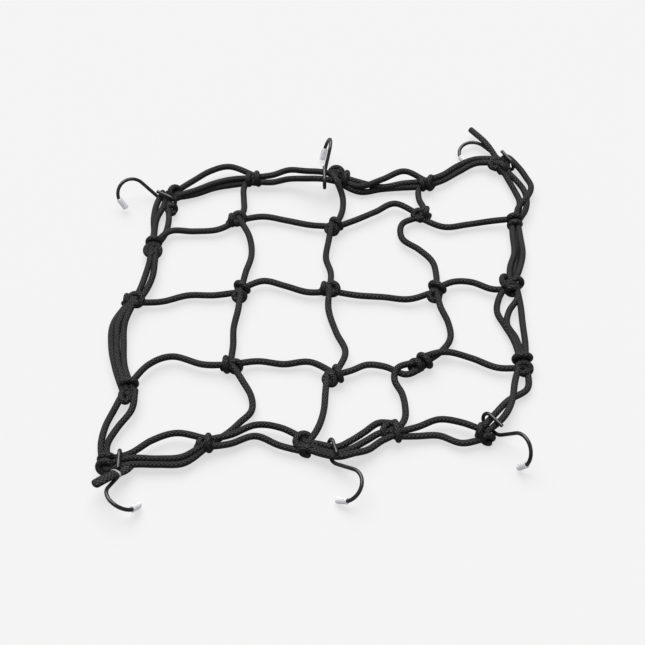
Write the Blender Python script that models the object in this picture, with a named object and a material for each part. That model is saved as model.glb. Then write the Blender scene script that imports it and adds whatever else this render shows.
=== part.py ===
"""Elastic luggage net, lying slack: a knotted cord mesh, six wire hooks and their soft tip caps.

Metres, +Z up, +X along the net's near edge, +Y towards its far edge. The origin is under the
middle of the whole part, on the floor. Plan places and heights in the tables are millimetres.

The net is one solid. Single cords run both ways between 5 x 5 knots, two or three cords run
side by side round the border, and every knot is a body with cord loops drawn round it.
"""
import math
from collections import namedtuple

import bmesh
import bpy
from mathutils import Matrix, Vector

MM = 0.001

# Driving sizes, in metres
CORD_D = 4.6 * MM           # elastic cord
CORD_STEP = 11.5 * MM       # between the rings of faces along a cord
LOOP_STEPS = 7              # rings of faces round one cord loop of a knot
KNOT_BODY_R = (4.6 * MM, 4.6 * MM, 4.4 * MM)
KNOT_BODY_Z = 3.2 * MM      # its underside goes below the floor and is cut flat
FLOOR_CUT = 40 * MM         # depth of the block that cuts the undersides flat
END_GAP = 3.6 * MM          # between the centre lines of the doubled loose end's two strands
END_LEAN = math.radians(18) # how far its nearer strand lies above the other

WIRE_D = 2.6 * MM
EYE_GAP = 8.6 * MM          # between the centre lines of a hook's two eye legs
EYE_BACK = 5.3 * MM         # eye centre to the start of the hairpin bend
EYE_FRONT = 6.0 * MM        # eye centre to the cut end of the upper leg, and to the shank's kink
SHANK = 17.8 * MM           # kink to the start of the big bend
BEND_R = 11.3 * MM
BEND_SWEEP = math.radians(144)
CURL_R = 2.6 * MM           # the tighter bend towards the tip
CURL_SWEEP = math.radians(25)
TIP = 6.4 * MM              # straight wire after the curl, nearly all inside the cap

CAP_D = 4.5 * MM
CAP_LENGTH = 9.0 * MM
CAP_BORE_DEPTH = 6.6 * MM
CLEARANCE = 0.3 * MM        # between a cap's bore and the wire in it
FLOOR_SNAP = 0.12 * MM      # points this near the floor, or below it, are put on it
NET_FACES = 11000           # triangles kept on the net, few where it is straight
CAP_SIDES = 12
EYE_STEPS = 6
BEND_STEPS = 7
CURL_STEPS = 4

SHIFT = Vector((-2.9, -14.5, 0.0)) * MM    # puts the origin under the middle of the whole part

# Knot centres on the floor: rows go from the far edge to the near edge, columns from left to right
KNOTS = (
    ((-110.5, 119), (-51, 135), (13, 135), (77, 130), (134, 152)),
    ((-123, 66), (-63, 93), (9, 87), (73, 97), (142, 93)),
    ((-133, 15), (-58, 24), (5, 25), (81, 24), (134, 30)),
    ((-131, -64), (-63, -42), (8, -51), (67, -40), (137, -41)),
    ((-141, -124), (-77, -107), (-12, -107), (48, -97), (106, -98)),
)

# One length of cord between two knots. bows: how far it lies to the left of the straight line
# between them, at equal steps from the first knot to the last. rise: its centre's height, at
# equal steps too. via: a floor point that it rounds first.
Run = namedtuple("Run", "start end bows rise via", defaults=(None,))

BORDER = (
    # far edge
    Run("00", "01", (2, 9, 15, 16, 3), (6, 8, 7)),
    Run("00", "01", (-2, 0, 3.5, 3.5, 0), (6, 6, 7)),
    Run("00", "01", (-2, -1.5, 1.5, 0.5, -1.5), (4, 3, 4)),
    Run("01", "02", (1, 3, 6.5, 2, -2, -2), (7, 7, 9, 12.5, 15.4, 11)),
    Run("01", "02", (-3, -3.5, -2, -5.5, -9, -6.5), (6, 6, 8, 12, 15.2, 9)),
    Run("02", "03", (1, -3, -5, -1, 1), (8, 5, 7)),
    Run("02", "03", (0, -7.5, -1, 10, 3), (5, 9, 7)),
    Run("02", "03", (-3, -10, -5.5, -3.5, -2.5), (4, 3, 5)),
    Run("03", "04", (1, 2.5, 8, 9.5, 4), (8, 6, 7)),
    Run("03", "04", (-2, -0.5, 4, 6, -1), (5, 4, 7)),
    # right edge
    Run("04", "14", (4, 11.2, 15.2, 17.5, 13, 4.5, 1), (5.6, 5, 6, 7.5, 7), (137.5, 158.5)),
    Run("04", "14", (-0.1, -0.4, 5.2, 9.8, 11.1, 9.3, 4), (5.6, 5.6, 6, 6, 6), (141, 154)),
    Run("04", "14", (-2, 2.5, 5, 7.2, 8.2, 5.5, 0), (6, 4, 5)),
    Run("14", "24", (-2, -0.5, 1.5, -1, 0), (6, 5, 7)),
    Run("14", "24", (2, 5, 7.5, 6, 2), (6, 5, 7)),
    Run("14", "24", (1, 2, 3, 2.5, 1), (4, 3, 4)),
    Run("24", "34", (-3, -9.5, -12, -8, -4, -2, -2), (5, 4, 6)),
    Run("24", "34", (3, 4, -3.5, -6.5, -2, 0, 0), (6, 5, 5)),
    Run("24", "34", (4, 5, 4.5, 4, 2), (6, 5, 6)),
    Run("34", "44", (-2, 1.5, 6.5, 7.5, 3), (6, 6, 6, 8.2, 8.4)),
    Run("34", "44", (3, 11, 4, 1.5, -1.5), (5, 4, 5, 8.2, 8.3)),
    # near edge
    Run("40", "41", (4, 4.5, 11, 12, 3), (6.2, 6.2, 7, 8)),
    Run("40", "41", (0, 1, -4, -7, -1), (6.2, 6.2, 6.5, 7)),
    Run("40", "41", (-4, -4, -8, -11, -3), (6.2, 5.8, 5, 5)),
    Run("41", "42", (2, 6, 14, 12, 3), (7, 7, 7)),
    Run("41", "42", (-3, 0, 6.5, -1, -6), (6, 5, 5)),
    Run("42", "43", (1, -3.5, -7.5, -4, 1.5, 7, 5), (7, 7.5, 7.5, 7, 8)),
    Run("42", "43", (0, -8.5, -13, -10.5, -5.5, -0.5, 0), (6, 8.4, 8.4, 7, 6)),
    Run("42", "43", (-4, -11.5, -16, -15, -12, -6, -3), (6, 9, 9, 5, 6)),
    Run("43", "44", (-2, 2.5, 9, 7, 1), (7, 7, 7)),
    Run("43", "44", (-4, -3, -2, -8, -5), (5, 4, 5)),
    # left edge
    Run("00", "10", (-10, -10.5, -8.5, -4, -2), (5.6, 5.6, 5.6, 6, 6)),
    Run("00", "10", (-6, -5, -6, -3.5, 0), (5.8, 5.8, 6, 7, 7)),
    Run("00", "10", (-3.5, -0.8, 3, 4, 1), (6.1, 6.1, 5, 5, 6)),
    Run("10", "20", (-2, 0.5, 1, 1, 0), (6, 5, 6)),
    Run("10", "20", (2, 4.5, 6.5, 6, 3), (6, 6, 6)),
    Run("20", "30", (-3, -13.5, -14, -10, -4), (6, 5, 6)),
    Run("20", "30", (-1, -9.5, -10, -7.5, -1), (8, 7, 7)),
    Run("20", "30", (1, -5.5, -5.5, -3.5, 3), (8, 5, 7)),
    Run("30", "40", (-3, -5.5, -8, -7, -2), (5, 5, 6)),
    Run("30", "40", (5, 6, 0, -3, 2), (7, 5, 6)),
)

COLUMNS = (
    Run("01", "11", (-5, -5.5, -2, 1.5, 0), (5, 5, 6)),
    Run("11", "21", (1, 8, 9, 4, 0), (8, 5, 6)),
    Run("21", "31", (0, 0, -1.5, 0, 0), (8, 5, 7)),
    Run("31", "41", (1, 11, 20, 23, 18, 12, 3), (7, 4, 6)),
    Run("02", "12", (0, 3, 7, 7, 4.5, 0), (13, 14.5, 8, 5, 5, 6), (7, 134.5)),
    Run("12", "22", (-2, -3.5, -4.5, 0, 0), (8, 5, 7)),
    Run("22", "32", (0, -1.5, 3, 8.5, 1), (9, 5, 8)),
    Run("32", "42", (-5, -1, 3, 4.5, 3), (7, 5, 8)),
    Run("03", "13", (-3, -4, -2.5, 1, 0), (5, 5, 7)),
    Run("13", "23", (-1, -6, 2, 7, 5, 0), (5, 5, 7), (60, 90)),
    Run("23", "33", (0, 5, 13, 16.5, 12, 2), (7, 4, 5)),
    Run("33", "43", (-2, -4, 2, 5, 5.5, 1), (7, 5, 6), (54, -45)),
)

ROWS = (
    Run("10", "11", (1, 10, 4, -2, 0), (7, 4, 5)),
    Run("11", "12", (0, 6, 4, 0.5, 0), (5, 4, 5)),
    Run("12", "13", (-1, 4, 10, 15.5, 0), (5, 5, 6)),
    Run("13", "14", (-2, -9, -5, -1.5, 1), (5, 4, 6)),
    Run("20", "21", (-1, -2, 2, -0.5, 0), (5, 4, 5)),
    Run("21", "22", (2, 9.5, 5, -1, -1), (6, 5, 5)),
    Run("22", "23", (0, -3.5, -4.5, -7, 0), (5, 4, 6)),
    Run("23", "24", (2, 7.5, 6, -2, -3), (6, 5, 5)),
    Run("30", "31", (3, 17, 19, 6, 0), (6, 6, 6)),
    Run("31", "32", (0, 6, 6.5, 9.5, 1), (6, 4, 7)),
    Run("32", "33", (0, 2.5, 5.5, -6, -8), (6, 5, 4)),
    Run("33", "34", (3, 9, 5, -3, -3), (8, 5, 5)),
)

# A cord loop of a knot. aside: its centre from the knot's, in plan. z: its centre's height.
# turn: the direction of its long way in plan, in degrees. length and width: half its long and
# short ways. lean: 0 lies flat and 90 stands up, in degrees, and the side to the left rises.
Loop = namedtuple("Loop", "knot aside z turn length width lean")

LOOPS = (
    Loop("00", (0, 0.5), 6.8, 50, 4.6, 4.4, 50),
    Loop("00", (-2, -14.5), 5.0, 20, 3.0, 3.0, 60),
    Loop("01", (1.5, 0), 6.3, 92, 4.3, 4.0, 90),
    Loop("01", (-5, 0), 5.6, 80, 4.0, 3.4, 90),
    Loop("02", (-2.5, 4), 8.0, 0, 4.6, 4.6, 25),
    Loop("02", (5, 0), 6.3, 75, 5.0, 4.2, 85),
    Loop("02", (1.5, -1), 6.0, 75, 4.2, 3.8, 85),
    Loop("03", (4, 0.5), 6.5, 70, 4.6, 4.0, 85),
    Loop("03", (-2.5, 0), 5.6, 100, 4.2, 3.4, 90),
    Loop("04", (-1.5, -1), 5.9, 20, 4.8, 3.6, 30),
    Loop("04", (3, -5), 5.6, -55, 4.2, 3.4, 90),
    Loop("10", (0, 4.5), 6.3, 0, 4.2, 3.6, 75),
    Loop("10", (-0.5, -3), 5.6, 0, 5.0, 5.2, 12),
    Loop("11", (-4.5, 0), 5.6, 85, 3.4, 3.2, 90),
    Loop("11", (1.2, 0.5), 7.0, 0, 4.0, 4.0, 30),
    Loop("12", (1.2, 1.5), 6.3, -45, 4.2, 4.0, 90),
    Loop("12", (-2, -3), 5.6, -30, 3.8, 3.2, 35),
    Loop("13", (4, 2), 6.3, 80, 3.7, 3.7, 90),
    Loop("13", (-1.5, 0.5), 6.3, 0, 4.2, 3.4, 40),
    Loop("14", (0, 1), 6.0, 0, 4.2, 3.6, 85),
    Loop("14", (0, -4.5), 5.4, 0, 3.8, 3.2, 90),
    Loop("20", (-5.5, 0.5), 5.6, 85, 3.3, 3.2, 90),
    Loop("20", (1, 0), 7.2, 0, 4.5, 4.3, 25),
    Loop("21", (0.8, 3), 6.4, -36, 4.7, 4.0, 90),
    Loop("21", (-1, -4), 5.2, 0, 3.6, 3.4, 35),
    Loop("22", (-4.2, 1.5), 5.8, 80, 3.3, 3.4, 90),
    Loop("22", (1.8, 0), 7.2, 0, 4.0, 4.2, 25),
    Loop("23", (0.8, 3), 6.4, -33, 5.0, 4.0, 90),
    Loop("23", (-1.5, -4), 5.2, 0, 3.5, 3.4, 35),
    Loop("24", (-2.5, 2), 6.6, 90, 5.2, 4.0, 30),
    Loop("24", (5, 1.5), 5.8, 0, 3.2, 3.4, 60),
    Loop("24", (1, -4.5), 5.0, 0, 3.4, 2.8, 90),
    Loop("30", (0, 5), 6.5, 5, 4.8, 4.0, 80),
    Loop("30", (-2, -4.5), 5.2, 90, 4.4, 2.8, 25),
    Loop("31", (-3, 0), 6.3, 90, 4.6, 4.0, 90),
    Loop("31", (3.6, -1), 5.4, 0, 3.2, 3.6, 50),
    Loop("32", (2.5, 1), 6.5, -72, 5.0, 4.2, 90),
    Loop("32", (-2.8, -3), 5.2, -30, 3.8, 3.4, 35),
    Loop("33", (3, 1), 6.6, -50, 5.0, 4.2, 90),
    Loop("33", (-3.5, -2.5), 5.4, -40, 3.6, 3.4, 60),
    Loop("34", (0, 4), 6.6, 0, 5.4, 4.2, 90),
    Loop("34", (0.5, -4), 5.6, 0, 4.6, 4.0, 25),
    Loop("40", (0, -1.5), 6.4, 0, 4.4, 4.0, 60),
    Loop("40", (0.5, 4.5), 6.0, 0, 4.4, 3.6, 75),
    Loop("41", (2, 0), 6.5, 88, 4.9, 4.2, 90),
    Loop("41", (-3.5, 0), 5.4, 90, 3.4, 3.0, 90),
    Loop("42", (-0.5, 1), 7.0, 30, 5.4, 5.0, 25),
    Loop("42", (1.5, -5), 5.0, 0, 3.4, 2.8, 90),
    Loop("43", (0.8, -0.5), 6.6, -84, 6.6, 4.2, 90),
    Loop("43", (-5.5, 0), 5.6, 60, 3.8, 3.4, 50),
    Loop("44", (-1.5, 0), 6.6, 75, 4.2, 4.2, 80),
    Loop("44", (3, -4.5), 5.2, 0, 3.2, 3.0, 90),
)

# The two loose ends, the near one doubled: the floor places and heights that each passes
LOOSE_END_FAR = ((134, 153, 6), (131.2, 161.2, 7), (125, 173, 8.2), (115.6, 189, 5.5))
LOOSE_END_NEAR = ((-124.5, -120.5, 3), (-128, -127.4, 6), (-132.8, -131.1, 7.4), (-136.6, -136, 11.2),
                  (-140.9, -140.3, 13.2), (-144.8, -142.6, 12.6))

# eye: the eye's centre. heading: which way the eye's legs point in plan. swing: how far the
# shank turns from that in plan. dip: how far the eye's closed end dips. tilt: how far the eye
# leans to the bend's side. climb: how far the shank rises from the floor. roll: how far the bend
# rises to its side. side: +1 bends left, -1 right.
Hook = namedtuple("Hook", "name eye heading swing dip tilt climb roll side")

HOOKS = (
    Hook("hook_far_left", (-118.0, 115.4, 6.0), 148, 8, -3, 9, 38, -22, 1),
    Hook("hook_far_middle", (1.4, 128.4, 15.3), 91, -16, 4, 0, 33, -69, 1),
    Hook("hook_far_right", (140.4, 155.6, 5.7), 121, 16, 0, 0, 7.5, -2.6, 1),
    Hook("hook_near_left", (-132.1, -123.2, 6.2), -89, -20, 0, 0, 28, -19.4, 1),
    Hook("hook_near_middle", (6.6, -114.9, 8.1), -77, 42, 10, -22, 22.4, -24.4, -1),
    Hook("hook_near_right", (113.1, -93.9, 8.4), -51, 17, 0, -22, 45.5, -53.8, -1),
)

CORD_MATERIAL = ("elastic_cord", (0.028, 0.028, 0.030, 1.0), 0.80, 0.0)
WIRE_MATERIAL = ("coated_wire", (0.022, 0.022, 0.024, 1.0), 0.38, 0.0)
CAP_MATERIAL = ("soft_cap", (0.82, 0.82, 0.80, 1.0), 0.45, 0.0)


def clear_scene():
    for obj in list(bpy.data.objects):
        bpy.data.objects.remove(obj, do_unlink=True)


def make_material(spec):
    name, colour, roughness, metallic = spec
    material = bpy.data.materials.new(name)
    material.use_nodes = True
    shader = material.node_tree.nodes["Principled BSDF"]
    shader.inputs["Base Color"].default_value = colour
    shader.inputs["Roughness"].default_value = roughness
    shader.inputs["Metallic"].default_value = metallic
    return material


def knot_place(name):
    x, y = KNOTS[int(name[0])][int(name[1])]
    return Vector((x, y, 0.0)) * MM + SHIFT


def rise_at(rise, t):
    """Height at t (0 to 1) on straight lines between equally spaced heights."""
    place = t * (len(rise) - 1)
    i = min(int(place), len(rise) - 2)
    return (rise[i] + (rise[i + 1] - rise[i]) * (place - i)) * MM


def run_points(run):
    """The cord's own points: the first knot's side, its bows, and the last knot's side."""
    start, end = knot_place(run.start), knot_place(run.end)
    points = []
    if run.via:
        points.append(start + Vector((0, 0, rise_at(run.rise, 0))))
        start = Vector((run.via[0], run.via[1], 0)) * MM + SHIFT
    chord = end - start
    left = Vector((-chord.y, chord.x, 0)).normalized()
    last = len(run.bows) - 1
    for i, bow in enumerate(run.bows):
        t = i / last
        point = start + chord * t + left * bow * MM
        point.z = rise_at(run.rise, t)
        points.append(point)
    return points


def smooth_path(points, step):
    """Points about a step apart on a smooth curve through the given points."""
    padded = [points[0] * 2 - points[1]] + list(points) + [points[-1] * 2 - points[-2]]
    fine = []
    for p0, p1, p2, p3 in zip(padded, padded[1:], padded[2:], padded[3:]):
        for i in range(12):
            t = i / 12
            fine.append(0.5 * (2 * p1 + (p2 - p0) * t + (2 * p0 - 5 * p1 + 4 * p2 - p3) * t * t
                               + (3 * p1 - p0 - 3 * p2 + p3) * t ** 3))
    fine.append(points[-1].copy())
    lengths = [0.0]
    for a, b in zip(fine, fine[1:]):
        lengths.append(lengths[-1] + (b - a).length)
    count = max(2, round(lengths[-1] / step))
    path, k = [], 0
    for i in range(count + 1):
        goal = lengths[-1] * i / count
        while k < len(fine) - 2 and lengths[k + 1] < goal:
            k += 1
        share = (goal - lengths[k]) / max(lengths[k + 1] - lengths[k], 1e-9)
        path.append(fine[k].lerp(fine[k + 1], min(max(share, 0.0), 1.0)))
    return path


def loop_path(loop, steps):
    centre = knot_place(loop.knot) + Vector((loop.aside[0], loop.aside[1], loop.z)) * MM
    turn, lean = math.radians(loop.turn), math.radians(loop.lean)
    along = Vector((math.cos(turn), math.sin(turn), 0))
    left = Vector((-math.sin(turn), math.cos(turn), 0))
    across = left * math.cos(lean) + Vector((0, 0, math.sin(lean)))
    path = []
    for i in range(steps):
        a = 2 * math.pi * i / steps
        path.append(centre + along * loop.length * MM * math.cos(a)
                    + across * loop.width * MM * math.sin(a))
    return path


def loose_ends():
    """The far end's points, and those of the near end's two strands side by side."""
    far, near = ([Vector(place) * MM + SHIFT for place in places]
                 for places in (LOOSE_END_FAR, LOOSE_END_NEAR))
    chord = near[-1] - near[0]
    aside = raised(Vector((-chord.y, chord.x, 0)).normalized(), END_LEAN)[0] * END_GAP / 2
    return far, [point + aside for point in near], [point - aside for point in near]


def new_cord_curve(name, diameter, resolution):
    curve = bpy.data.curves.new(name, "CURVE")
    curve.dimensions = "3D"
    curve.bevel_depth = diameter / 2
    curve.bevel_resolution = resolution
    curve.use_fill_caps = True
    curve.render_resolution_u = 0
    return curve


def add_spline(curve, points, cyclic=False):
    spline = curve.splines.new("POLY")
    spline.points.add(len(points) - 1)
    for slot, point in zip(spline.points, points):
        slot.co = (point.x, point.y, point.z, 1.0)
    spline.use_cyclic_u = cyclic


def mesh_of(curve, name):
    """The curve's tube surfaces as a mesh; the curve itself goes."""
    holder = bpy.data.objects.new(name + "_curve", curve)
    bpy.context.collection.objects.link(holder)
    bpy.context.view_layer.update()
    mesh = bpy.data.meshes.new_from_object(holder.evaluated_get(
        bpy.context.evaluated_depsgraph_get()))
    bpy.data.objects.remove(holder, do_unlink=True)
    mesh.name = name
    return mesh


def link(name, mesh, material):
    mesh.materials.clear()
    mesh.materials.append(material)
    mesh.shade_smooth()
    mesh.set_sharp_from_angle(angle=math.radians(50))
    obj = bpy.data.objects.new(name, mesh)
    bpy.context.collection.objects.link(obj)
    return obj


def evaluated_mesh(obj):
    bpy.context.view_layer.update()
    return bpy.data.meshes.new_from_object(obj.evaluated_get(
        bpy.context.evaluated_depsgraph_get()))


def fill_cavities(mesh):
    """Remove the inward-facing shells that the loops close off, and return the face count."""
    bm = bmesh.new()
    bm.from_mesh(mesh)
    unseen = set(bm.faces)
    while unseen:
        shell, border = set(), [unseen.pop()]
        while border:
            face = border.pop()
            shell.add(face)
            for edge in face.edges:
                for other in edge.link_faces:
                    if other in unseen:
                        unseen.discard(other)
                        border.append(other)
        volume = sum(f.calc_center_median().dot(f.normal) * f.calc_area() for f in shell) / 3
        if volume <= 0:
            bmesh.ops.delete(bm, geom=list(shell), context="FACES")
    bmesh.ops.triangulate(bm, faces=bm.faces, quad_method="BEAUTY", ngon_method="BEAUTY")
    count = len(bm.faces)
    bm.to_mesh(mesh)
    bm.free()
    return count


def as_helper(obj):
    obj.hide_render = True
    obj.display_type = "WIRE"
    return obj


def add_knot_body(bm, centre):
    place = Matrix.Translation(centre) @ Matrix.Diagonal((*KNOT_BODY_R, 1.0))
    bmesh.ops.create_icosphere(bm, subdivisions=1, radius=1.0, matrix=place)


def build_net(material):
    """All cords, loops and knot bodies as one solid, cut flat where it touches the floor."""
    cords = new_cord_curve("net", CORD_D, 1)
    for run in BORDER + COLUMNS + ROWS:
        add_spline(cords, smooth_path(run_points(run), CORD_STEP))
    for loop in LOOPS:
        add_spline(cords, loop_path(loop, LOOP_STEPS), cyclic=True)
    for points in loose_ends():
        add_spline(cords, smooth_path(points, CORD_STEP / 2))
    net = link("net", mesh_of(cords, "net"), material)

    bm = bmesh.new()
    bm.from_mesh(net.data)
    for row in range(5):
        for column in range(5):
            add_knot_body(bm, knot_place(f"{row}{column}") + Vector((0, 0, KNOT_BODY_Z)))
    bm.to_mesh(net.data)
    bm.free()

    bpy.ops.mesh.primitive_cube_add(size=1.0, location=(0, 0, -FLOOR_CUT / 2))
    floor = as_helper(bpy.context.object)
    floor.name = "floor_cut"
    floor.scale = (0.6, 0.6, FLOOR_CUT)
    cut = net.modifiers.new("floor_cut", "BOOLEAN")
    cut.operation = "DIFFERENCE"
    cut.solver = "EXACT"
    cut.use_self = True
    cut.object = floor
    solid = evaluated_mesh(net)
    net.modifiers.clear()
    bpy.data.objects.remove(floor, do_unlink=True)
    faces = fill_cavities(solid)
    net.data = solid
    thin = net.modifiers.new("thin", "DECIMATE")
    thin.ratio = NET_FACES / faces
    net.data = evaluated_mesh(net)
    net.modifiers.clear()
    for vertex in net.data.vertices:
        if vertex.co.z < FLOOR_SNAP:
            vertex.co.z = 0.0
    net.data.shade_smooth()
    net.data.set_sharp_from_angle(angle=math.radians(50))
    return net


def plan_directions(heading, side):
    """The level direction of a heading, and the level direction towards the bend's side."""
    return (Vector((math.cos(heading), math.sin(heading), 0)),
            Vector((-math.sin(heading), math.cos(heading), 0)) * side)


def raised(flat, angle):
    """The level direction turned up by an angle, and the direction square to it and upward."""
    up = Vector((0, 0, 1))
    return (flat * math.cos(angle) + up * math.sin(angle),
            up * math.cos(angle) - flat * math.sin(angle))


def arc(start, along, sideways, radius, sweep, steps):
    """Points round an arc that leaves start along one direction and bends to the other."""
    points = []
    for i in range(1, steps + 1):
        a = sweep * i / steps
        points.append(start + along * radius * math.sin(a)
                      + sideways * radius * (1 - math.cos(a)))
    end = (along * math.cos(sweep) + sideways * math.sin(sweep),
           sideways * math.cos(sweep) - along * math.sin(sweep))
    return points, end


def hook_path(hook):
    """Cut end, upper leg, hairpin, lower leg, shank, big bend, curl and straight tip."""
    heading, swing, dip, tilt, climb, roll = (math.radians(v) for v in (
        hook.heading, hook.swing, hook.dip, hook.tilt, hook.climb, hook.roll))
    flat, level = plan_directions(heading, hook.side)
    along, up = raised(flat, dip)
    up = up * math.cos(tilt) + level * math.sin(tilt)
    eye = Vector(hook.eye) * MM + SHIFT
    half = EYE_GAP / 2
    path = [eye + along * EYE_FRONT + up * half, eye - along * EYE_BACK + up * half]
    path += arc(path[-1], -along, -up, half, math.pi, EYE_STEPS)[0]
    path.append(eye + along * EYE_FRONT - up * half)
    flat, level = plan_directions(heading + swing, hook.side)
    along, up = raised(flat, climb)
    path.append(path[-1] + along * SHANK)
    sideways = level * math.cos(roll) + up * math.sin(roll)
    bend, (along, sideways) = arc(path[-1], along, sideways, BEND_R, BEND_SWEEP, BEND_STEPS)
    path += bend
    curl, (along, sideways) = arc(path[-1], along, sideways, CURL_R, CURL_SWEEP, CURL_STEPS)
    path += curl
    path.append(path[-1] + along * TIP)
    return path


def build_hook(hook, material):
    wire = new_cord_curve(hook.name, WIRE_D, 2)
    add_spline(wire, hook_path(hook))
    return link(hook.name, mesh_of(wire, hook.name), material)


def build_cap(hook, material):
    """A closed-ended sleeve over the wire's tip, turned about the tip's axis."""
    path = hook_path(hook)
    end, axis = path[-1], (path[-1] - path[-2]).normalized()
    bore_end = CLEARANCE
    outer, bore = CAP_D / 2, WIRE_D / 2 + CLEARANCE
    mouth = bore_end - CAP_BORE_DEPTH
    nose = mouth + CAP_LENGTH
    profile = ((0.0, bore_end), (bore, bore_end), (bore, mouth), (outer, mouth),
               (outer, nose - outer * 0.55), (outer * 0.72, nose - outer * 0.12), (0.0, nose))
    bm = bmesh.new()
    corners = [bm.verts.new((radius, 0, height)) for radius, height in profile]
    edges = [bm.edges.new(pair) for pair in zip(corners, corners[1:])]
    bmesh.ops.spin(bm, geom=corners + edges, cent=(0, 0, 0), axis=(0, 0, 1),
                   angle=2 * math.pi, steps=CAP_SIDES, use_merge=True)
    bmesh.ops.remove_doubles(bm, verts=bm.verts, dist=1e-6)
    bmesh.ops.recalc_face_normals(bm, faces=bm.faces)
    mesh = bpy.data.meshes.new(hook.name.replace("hook", "cap"))
    bm.to_mesh(mesh)
    bm.free()
    cap = link(hook.name.replace("hook", "cap"), mesh, material)
    cap.location = end
    cap.rotation_mode = "QUATERNION"
    cap.rotation_quaternion = Vector((0, 0, 1)).rotation_difference(axis)
    return cap


def main():
    clear_scene()
    cord, wire, soft = (make_material(spec) for spec in
                        (CORD_MATERIAL, WIRE_MATERIAL, CAP_MATERIAL))
    build_net(cord)
    for hook in HOOKS:
        build_hook(hook, wire)
        build_cap(hook, soft)


if __name__ == "__main__":
    main()
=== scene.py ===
"""Looks of the elastic luggage net: braided cords, wrapped knots, wire hooks, tip caps, a studio.

It is laid out as an add-on and run as a script. Each piece but the studio's and the steel band
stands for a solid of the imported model, or for a part of one, and lies where that solid is.
Metres, +Z up, the floor at z = 0. The tables of knots, cords and hooks are in millimetres and
degrees.
"""

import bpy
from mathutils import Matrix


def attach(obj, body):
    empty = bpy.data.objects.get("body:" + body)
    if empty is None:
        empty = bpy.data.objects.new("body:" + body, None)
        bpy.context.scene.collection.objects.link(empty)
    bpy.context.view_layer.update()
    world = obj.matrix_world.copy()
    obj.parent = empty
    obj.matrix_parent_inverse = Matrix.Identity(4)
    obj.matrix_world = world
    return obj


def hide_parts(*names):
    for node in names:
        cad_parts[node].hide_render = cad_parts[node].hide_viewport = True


bl_info = {
    "name": "Luggage Net Looks",
    "version": (1, 0, 0),
    "blender": (4, 5, 0),
    "location": "3D View > Sidebar > Luggage Net",
    "description": "Models the cords, knots, hooks and caps of a slack elastic luggage net",
    "category": "Object",
}

from collections import namedtuple
from math import cos, pi, radians, sin

import bpy
from bpy.props import FloatProperty, FloatVectorProperty, IntProperty, PointerProperty
from mathutils import Matrix, Vector

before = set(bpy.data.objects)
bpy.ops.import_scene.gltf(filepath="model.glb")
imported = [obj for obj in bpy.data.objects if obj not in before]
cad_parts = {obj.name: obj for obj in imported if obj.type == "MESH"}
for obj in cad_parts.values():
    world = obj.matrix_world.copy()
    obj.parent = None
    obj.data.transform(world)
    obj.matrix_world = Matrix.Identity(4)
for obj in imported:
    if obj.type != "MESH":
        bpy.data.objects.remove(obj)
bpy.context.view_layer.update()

MM = 0.001
BODY = "root"
CORD_MAP = "cord_map"       # a cord's own map: turns round it, and metres along it
UP = Vector((0, 0, 1))
WHITE = (1.0, 1.0, 1.0, 1.0)
NEAR = 1e-6                 # lengths in metres that differ by less than this are the same

# Sizes that the solids share with these pieces
CORD_D = 4.6 * MM
END_GAP = 3.6 * MM          # between the centre lines of the doubled loose end's two strands
END_LEAN = radians(18)      # how far its nearer strand lies above the other
WIRE_D = 2.6 * MM
EYE_GAP = 8.6 * MM          # between the centre lines of a hook's two eye legs
EYE_BACK = 5.3 * MM         # eye centre to the start of the hairpin bend
EYE_FRONT = 6.0 * MM        # eye centre to the cut end of the upper leg, and to the shank's kink
SHANK = 17.8 * MM           # kink to the start of the big bend
BEND_R = 11.3 * MM
BEND_SWEEP = radians(144)
CURL_R = 2.6 * MM           # the tighter bend towards the tip
CURL_SWEEP = radians(25)
TIP = 6.4 * MM              # straight wire after the curl, nearly all inside the cap
CAP_D = 4.5 * MM
CAP_LENGTH = 9.0 * MM
CAP_BORE_DEPTH = 6.6 * MM
CLEARANCE = 0.3 * MM        # between a cap's bore and the wire in it
FLOOR_GAP = 0.2 * MM        # the studio floor lies this far under the net's flat undersides

# Fineness
ROUTE_STEPS = 12            # fine points between two of a cord's own points
LOOP_STEPS = 40             # rings round one wrap of a knot
EYE_STEPS = 20
BEND_STEPS = 32
CURL_STEPS = 14
KINK_STEPS = 9
DOME_STEPS = 5
NOSE_STEPS = 7
CHAMFER_STEPS = 3
LIP_STEPS = 2
BODY_STEPS = (-1, -0.5, 0, 0.5, 1)
WIRE_RESOLUTION = 6         # gives the wire 16 sides
CAP_SIDES = 32
CRIMP_SIDES = 40
CORD_SHARP = radians(60)    # edges sharper than this stay sharp
PIECE_SHARP = radians(40)

# How knots, ends, bends and bands are shaped
WRAP_TURNS = 1.10           # half turns each way from the top of a wrap
WRAP_TUCK = 0.22            # how far a wrap's ends draw in, as a share of its size
TUCK_POWER = 6              # the higher, the later they start to draw in
WRAP_SLANT = 0.9            # how far its ends lie to each side, in cord radii
WRAP_THIN = 0.96            # a wrap's thickness, as a share of the slack cord's
NECK_LENGTH = 9 * MM        # from a knot to where a cord has its full thickness
SWELL = 0.012               # slow unevenness of a cord's thickness
SWELL_LENGTH = 31 * MM
SWELL_SHIFT = 1000          # radians for each metre of cord, so no two lengths swell alike
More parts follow.
